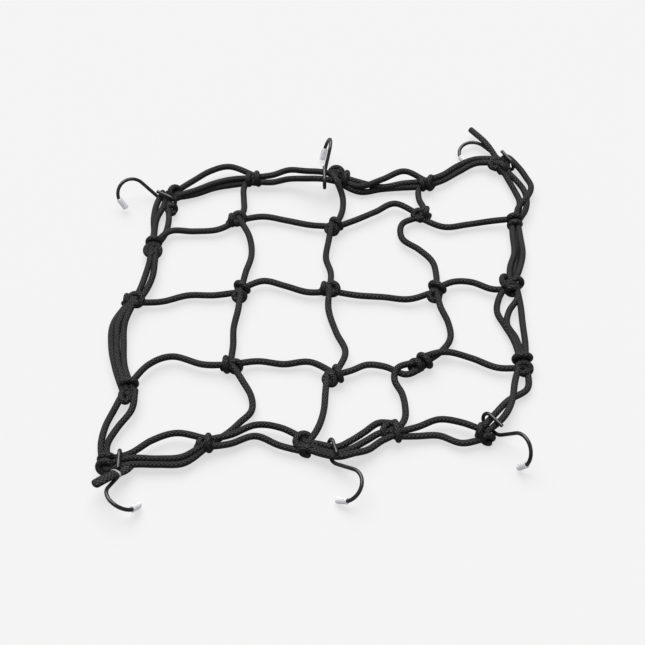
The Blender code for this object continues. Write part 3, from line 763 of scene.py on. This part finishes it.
def wire_material(settings):
    """Black coating on steel wire, half glossy, a little rubbed in patches."""
    material, tree, shader = new_material("coated_wire", WIRE_FINISH)
    rubs = ranged(tree, noise(tree, RUB_SCALE, detail=4.0), RUB_SPAN, 0.0, 1.0)
    paint(tree, shader, rubs, settings.coat_colour, settings.worn_colour)
    feed(tree, shader.inputs["Roughness"],
         ranged(tree, noise(tree, FIBRE_SCALE), WIDE_SPAN, *WIRE_ROUGHNESS))
    roughen(tree, shader, noise(tree, ORANGE_PEEL_SCALE), WIRE_GRAIN, strength=0.5)
    return material


def steel_material(settings):
    """Bare steel of the crimp and of the wire's cut ends, with fine lines."""
    made = bpy.data.materials.get("bare_steel")
    if made:
        return made
    material, tree, shader = new_material("bare_steel", STEEL_FINISH)
    lines = noise(tree, SHEAR_SCALE, detail=3.0)
    dull = tinted(settings.steel_colour, STEEL_TINT)
    paint(tree, shader, lines, dull, settings.steel_colour)
    roughen(tree, shader, lines, STEEL_GRAIN, strength=0.5)
    return material


def cap_material(settings):
    """Milky soft plastic that lets a little light in, with a faint painted glow."""
    material, tree, shader = new_material("milky_cap", CAP_FINISH_WITH_PAINTED_GLOW)
    clouds = ranged(tree, noise(tree, CLOUD_SCALE), WIDE_SPAN, 0.0, 1.0)
    paint(tree, shader, clouds, tinted(settings.colour, CAP_TINT), settings.colour)
    roughen(tree, shader, noise(tree, FIBRE_SCALE), CAP_GRAIN, strength=0.4)
    return material


def floor_material(settings):
    """Plain matt floor with the faintest unevenness."""
    material, tree, shader = new_material("plain_floor", FLOOR_FINISH)
    soft = ranged(tree, noise(tree, FLOOR_SCALE), WIDE_SPAN, 0.0, 1.0)
    paint(tree, shader, soft, tinted(settings.floor_colour, FLOOR_TINT), settings.floor_colour)
    rays = tree.nodes.new("ShaderNodeLightPath")
    feed(tree, shader.inputs["Emission Strength"],
         ranged(tree, rays.outputs["Is Camera Ray"], (0.0, 1.0),
                settings.floor_glow * settings.floor_spill, settings.floor_glow))
    return material


# ---------------------------------------------------------------- hooks and caps

def plan_directions(heading, side):
    """The level direction of a heading, and the level direction towards the bend's side."""
    return facing(heading), left_of(facing(heading)) * side


def raised(flat, angle):
    """The level direction turned up by an angle, and the direction square to it and upward."""
    return flat * cos(angle) + UP * sin(angle), UP * cos(angle) - flat * sin(angle)


def arc(start, along, sideways, radius, sweep_angle, steps):
    """Points round an arc that leaves start along one direction and bends to the other."""
    points = []
    for i in range(1, steps + 1):
        a = sweep_angle * i / steps
        points.append(start + along * radius * sin(a) + sideways * radius * (1 - cos(a)))
    end = (along * cos(sweep_angle) + sideways * sin(sweep_angle),
           sideways * cos(sweep_angle) - along * sin(sweep_angle))
    return points, end


def eased_corner(before, corner, after):
    """Points on a smooth bend that cuts a kink, from one straight to the next."""
    start = corner + (before - corner).normalized() * KINK_REACH
    end = corner + (after - corner).normalized() * KINK_REACH
    points = []
    for i in range(KINK_STEPS + 1):
        t = i / KINK_STEPS
        points.append(start.lerp(corner, t).lerp(corner.lerp(end, t), t))
    return points


def hook_path(hook):
    """Cut end, upper leg, hairpin, lower leg, eased kink, shank, big bend, curl and tip."""
    heading, swing, dip, tilt, climb, roll = (radians(v) for v in (
        hook.heading, hook.swing, hook.dip, hook.tilt, hook.climb, hook.roll))
    flat, level = plan_directions(heading, hook.side)
    along, up = raised(flat, dip)
    up = up * cos(tilt) + level * sin(tilt)
    eye = Vector(hook.eye) * MM + SHIFT
    half = EYE_GAP / 2
    path = [eye + along * EYE_FRONT + up * half, eye - along * EYE_BACK + up * half]
    path += arc(path[-1], -along, -up, half, pi, EYE_STEPS)[0]
    kink = eye + along * EYE_FRONT - up * half
    flat, level = plan_directions(heading + swing, hook.side)
    along, up = raised(flat, climb)
    shank_end = kink + along * SHANK
    path += eased_corner(path[-1], kink, shank_end)
    path.append(shank_end)
    sideways = level * cos(roll) + up * sin(roll)
    bend, (along, sideways) = arc(path[-1], along, sideways, BEND_R, BEND_SWEEP, BEND_STEPS)
    path += bend
    curl, (along, sideways) = arc(path[-1], along, sideways, CURL_R, CURL_SWEEP, CURL_STEPS)
    path += curl
    path.append(path[-1] + along * TIP)
    return path


def pick(obj, kind, chosen):
    """Opens the active piece for editing with only the chosen faces or edges selected."""
    bpy.ops.object.mode_set(mode="EDIT")
    bpy.ops.mesh.select_mode(type=kind)
    bpy.ops.mesh.select_all(action="DESELECT")
    bpy.ops.object.mode_set(mode="OBJECT")
    parts = obj.data.polygons if kind == "FACE" else obj.data.edges
    for part in parts:
        part.select = chosen(part)
    bpy.ops.object.mode_set(mode="EDIT")


def bevel_picked(width, segments):
    """Rounds what is picked and closes the piece for editing."""
    bpy.ops.mesh.bevel(offset=width, segments=segments, affect="EDGES")
    bpy.ops.object.mode_set(mode="OBJECT")


def corners(obj, edge):
    return [obj.data.vertices[v].co for v in edge.vertices]


def end_face(face):
    """Whether a face closes an end: it has more corners than a side's four."""
    return len(face.vertices) > 4


def new_rod(name, sides, radius, length, middle=0.0):
    """A rod along Z, the start of a band or a cap."""
    bpy.ops.object.select_all(action="DESELECT")
    bpy.ops.mesh.primitive_cylinder_add(vertices=sides, radius=radius, depth=length,
                                        location=(0, 0, middle))
    rod = bpy.context.object
    rod.name = name
    bpy.ops.object.transform_apply(location=True, rotation=True, scale=True)
    return rod


def settle(obj, turn, place):
    """Turns and moves a piece made at the origin, and leaves its place in its mesh."""
    obj.rotation_mode = "QUATERNION"
    obj.rotation_quaternion = turn
    obj.location = place
    bpy.ops.object.transform_apply(location=True, rotation=True, scale=True)
    obj.rotation_mode = "XYZ"


def wire_piece(hook, settings, coat, steel):
    """A bent wire with a chamfered, bare cut end, that stands for the hook's solid."""
    name = hook.name.replace("hook", "wire")
    curve = bpy.data.curves.new(name, "CURVE")
    curve.dimensions = "3D"
    curve.bevel_depth = settings.diameter / 2
    curve.bevel_resolution = WIRE_RESOLUTION
    curve.use_fill_caps = True
    path = hook_path(hook)
    spline = curve.splines.new("POLY")
    spline.points.add(len(path) - 1)
    for slot, point in zip(spline.points, path):
        slot.co = (*point, 1.0)
    wire = bpy.data.objects.new(name, curve)
    bpy.context.collection.objects.link(wire)
    bpy.ops.object.select_all(action="DESELECT")
    wire.select_set(True)
    bpy.context.view_layer.objects.active = wire
    bpy.ops.object.convert(target="MESH")
    wire.data.materials.clear()
    wire.data.materials.append(coat)
    wire.data.materials.append(steel)
    reach = settings.diameter * WIRE_CUT_REACH

    def at_cut(face):
        return (face.center - path[0]).length < reach and end_face(face)

    pick(wire, "FACE", at_cut)
    bpy.context.object.active_material_index = 1
    bpy.ops.object.material_slot_assign()
    bpy.ops.mesh.bevel(offset=settings.chamfer, segments=CHAMFER_STEPS, affect="EDGES")
    bpy.ops.mesh.select_all(action="SELECT")
    bpy.ops.mesh.normals_make_consistent(inside=False)
    bpy.ops.object.mode_set(mode="OBJECT")
    bpy.ops.object.shade_smooth_by_angle(angle=PIECE_SHARP)
    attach(wire, BODY)
    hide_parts(hook.name)


def crimp_piece(path, broad, radius, steel):
    """A narrow steel band pressed round the doubled loose end, about half way along it."""
    place = round(CRIMP_PLACE * (len(path) - 1))
    axis = (path[place + 1] - path[place - 1]).normalized()
    across = (broad - axis * broad.dot(axis)).normalized()
    band = new_rod("end_crimp", CRIMP_SIDES, 1, CRIMP_WIDTH)
    band.scale = (END_GAP / 2 + radius + CRIMP_THICK, radius + CRIMP_THICK, 1)
    turned = Matrix((across, axis.cross(across), axis)).transposed()
    settle(band, turned.to_quaternion(), path[place])

    def rim(edge):
        one, other = corners(band, edge)
        return abs((one - other).dot(axis)) < CRIMP_WIDTH / 2

    pick(band, "EDGE", rim)
    bevel_picked(CRIMP_THICK / 2, LIP_STEPS)
    bpy.ops.object.shade_smooth_by_angle(angle=PIECE_SHARP)
    band.data.materials.append(steel)
    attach(band, BODY)


def cap_piece(hook, settings, material):
    """A soft sleeve with a round nose and a rolled mouth, that stands for the cap's solid."""
    path = hook_path(hook)
    end, axis = path[-1], (path[-1] - path[-2]).normalized()
    outer, bore = settings.diameter / 2, WIRE_D / 2 + CLEARANCE
    mouth = CLEARANCE - CAP_BORE_DEPTH
    nose = mouth + settings.length
    cap = new_rod(hook.name.replace("hook", "tip"), CAP_SIDES, outer, settings.length,
                  (mouth + nose) / 2)

    def nose_rim(edge):
        return all(point.z > nose - NEAR for point in corners(cap, edge))

    def mouth_face(face):
        return face.center.z < mouth + NEAR and end_face(face)

    def mouth_rim(edge):
        one, other = corners(cap, edge)
        return (max(one.z, other.z) < mouth + NEAR
                and abs(one.xy.length - other.xy.length) < NEAR)

    pick(cap, "EDGE", nose_rim)
    bevel_picked(outer * CAP_NOSE, NOSE_STEPS)
    pick(cap, "FACE", mouth_face)
    bpy.ops.mesh.inset(thickness=outer - bore)
    bpy.ops.mesh.extrude_region_move(TRANSFORM_OT_translate={"value": (0, 0, CAP_BORE_DEPTH)})
    bpy.ops.object.mode_set(mode="OBJECT")
    pick(cap, "EDGE", mouth_rim)
    bevel_picked(CAP_LIP, LIP_STEPS)
    settle(cap, UP.rotation_difference(axis), end)
    cap.data.materials.append(material)
    bpy.ops.object.shade_smooth_by_angle(angle=PIECE_SHARP)
    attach(cap, BODY)
    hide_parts(hook.name.replace("hook", "cap"))


# ---------------------------------------------------------------- operators

class NET_OT_studio(bpy.types.Operator):
    """Lay the floor, hang the lamp and stand the camera"""
    bl_idname = "luggage_net.studio"
    bl_label = "Studio"

    def execute(self, context):
        settings = context.scene.net_studio
        bpy.ops.object.select_all(action="DESELECT")
        bpy.ops.mesh.primitive_plane_add(size=FLOOR_SIZE, location=(0, 0, -FLOOR_GAP))
        floor = context.object
        floor.name = "studio_floor"
        floor.data.materials.append(floor_material(settings))

        bpy.ops.object.light_add(type="SUN", location=LAMP_PLACE, rotation=LAMP_TURN)
        lamp = context.object
        lamp.name = "studio_lamp"
        lamp.data.energy = settings.lamp
        lamp.data.angle = settings.lamp_spread

        world = bpy.data.worlds.new("studio_sky")
        world.use_nodes = True
        tree = world.node_tree
        sky = tree.nodes["Background"]
        sky.inputs["Color"].default_value = WHITE
        way = tree.nodes.new("ShaderNodeTexCoord")
        split = tree.nodes.new("ShaderNodeSeparateXYZ")
        tree.links.new(way.outputs["Generated"], split.inputs["Vector"])
        feed(tree, sky.inputs["Strength"],
             ranged(tree, split.outputs["Z"], (0.0, 1.0), settings.sky_low, settings.sky_high))
        context.scene.world = world
        context.scene.view_settings.view_transform = "Standard"

        aim = Vector((SHIFT.x, SHIFT.y, 0))
        back = Vector((0, -cos(settings.elevation), sin(settings.elevation)))
        bpy.ops.object.camera_add(location=aim + back * settings.distance,
                                  rotation=(pi / 2 - settings.elevation, 0, 0))
        camera = context.object
        camera.data.sensor_width = SENSOR_WIDTH
        camera.data.lens = settings.lens
        context.scene.camera = camera
        return {"FINISHED"}


class NET_OT_border_cords(bpy.types.Operator):
    """Lay the two or three cords that run side by side along each edge"""
    bl_idname = "luggage_net.border_cords"
    bl_label = "Border cords"

    def execute(self, context):
        settings = context.scene.net_cord
        cord_piece("border_cords", run_strands(BORDER, settings), settings)
        return {"FINISHED"}


class NET_OT_mesh_cords(bpy.types.Operator):
    """Lay the single cords that cross inside the border"""
    bl_idname = "luggage_net.mesh_cords"
    bl_label = "Mesh cords"

    def execute(self, context):
        settings = context.scene.net_cord
        cord_piece("column_cords", run_strands(COLUMNS, settings), settings)
        cord_piece("row_cords", run_strands(ROWS, settings), settings)
        return {"FINISHED"}


class NET_OT_knots(bpy.types.Operator):
    """Wrap each knot with its cord turns, round a body of crossing cord"""
    bl_idname = "luggage_net.knots"
    bl_label = "Knots"

    def execute(self, context):
        settings = context.scene.net_cord
        radius = settings.diameter / 2
        wraps = []
        for loop in LOOPS:
            path = wrap_path(loop, radius)
            wraps.append(Strand(path, [radius * WRAP_THIN] * len(path)))
        cord_piece("knot_wraps", wraps, settings)
        bodies = []
        for row, line in enumerate(KNOTS):
            for column in range(len(line)):
                centre = knot_place(f"{row}{column}") + UP * BODY_HEIGHT
                for heading in BODY_HEADINGS:
                    path = [centre + facing(heading) * BODY_REACH * t for t in BODY_STEPS]
                    bodies.append(Strand(path, [radius * BODY_THICK] * len(path)))
        cord_piece("knot_bodies", bodies, settings)
        return {"FINISHED"}


class NET_OT_loose_ends(bpy.types.Operator):
    """Lay the cut far end, and the doubled near end with its crimp"""
    bl_idname = "luggage_net.loose_ends"
    bl_label = "Loose ends"

    def execute(self, context):
        settings = context.scene.net_cord
        radius = settings.diameter / 2
        far, near = (smooth_path([Vector(place) * MM + SHIFT for place in places], settings.step)
                     for places in (LOOSE_END_FAR, LOOSE_END_NEAR))
        cord_piece("far_loose_end", [Strand(far, [radius] * len(far), "dome", "cut")], settings)
        chord = near[-1] - near[0]
        broad = raised(left_of(chord), END_LEAN)[0]
        doubled = Strand(near, [radius] * len(near), "dome", "dome", broad,
                         (END_GAP / 2 + radius) / radius)
        cord_piece("near_loose_end", [doubled], settings)
        crimp_piece(near, broad, radius, steel_material(context.scene.net_hook))
        return {"FINISHED"}


class NET_OT_hooks(bpy.types.Operator):
    """Bend the six wire hooks"""
    bl_idname = "luggage_net.hooks"
    bl_label = "Hooks"

    def execute(self, context):
        settings = context.scene.net_hook
        coat, steel = wire_material(settings), steel_material(settings)
        for hook in HOOKS:
            wire_piece(hook, settings, coat, steel)
        return {"FINISHED"}


class NET_OT_caps(bpy.types.Operator):
    """Push a soft cap over each hook's tip"""
    bl_idname = "luggage_net.caps"
    bl_label = "Tip caps"

    def execute(self, context):
        settings = context.scene.net_cap
        material = cap_material(settings)
        for hook in HOOKS:
            cap_piece(hook, settings, material)
        return {"FINISHED"}


class NET_PT_luggage_net(bpy.types.Panel):
    """Buttons that build the net, and the sizes and colours they use"""
    bl_idname = "NET_PT_luggage_net"
    bl_label = "Luggage Net"
    bl_space_type = "VIEW_3D"
    bl_region_type = "UI"
    bl_category = "Luggage Net"

    def draw(self, context):
        for title, name, _, operators in SECTIONS:
            box = self.layout.box()
            box.label(text=title)
            group = getattr(context.scene, name)
            for setting in group.bl_rna.properties.keys():
                if setting not in ("rna_type", "name"):
                    box.prop(group, setting)
            for operator in operators:
                box.operator(operator.bl_idname)


SECTIONS = (
    ("Studio", "net_studio", StudioSettings, (NET_OT_studio,)),
    ("Cords", "net_cord", CordSettings,
     (NET_OT_border_cords, NET_OT_mesh_cords, NET_OT_knots, NET_OT_loose_ends)),
    ("Hooks", "net_hook", HookSettings, (NET_OT_hooks,)),
    ("Caps", "net_cap", CapSettings, (NET_OT_caps,)),
)


def register():
    for _, name, group, operators in SECTIONS:
        bpy.utils.register_class(group)
        setattr(bpy.types.Scene, name, PointerProperty(type=group))
        for operator in operators:
            bpy.utils.register_class(operator)
    bpy.utils.register_class(NET_PT_luggage_net)


def unregister():
    bpy.utils.unregister_class(NET_PT_luggage_net)
    for _, name, group, operators in reversed(SECTIONS):
        for operator in reversed(operators):
            bpy.utils.unregister_class(operator)
        delattr(bpy.types.Scene, name)
        bpy.utils.unregister_class(group)


def main():
    register()
    bpy.ops.luggage_net.studio()
    bpy.ops.luggage_net.border_cords()
    bpy.ops.luggage_net.mesh_cords()
    bpy.ops.luggage_net.knots()
    bpy.ops.luggage_net.loose_ends()
    bpy.ops.luggage_net.hooks()
    bpy.ops.luggage_net.caps()


if __name__ == "__main__":
    main()
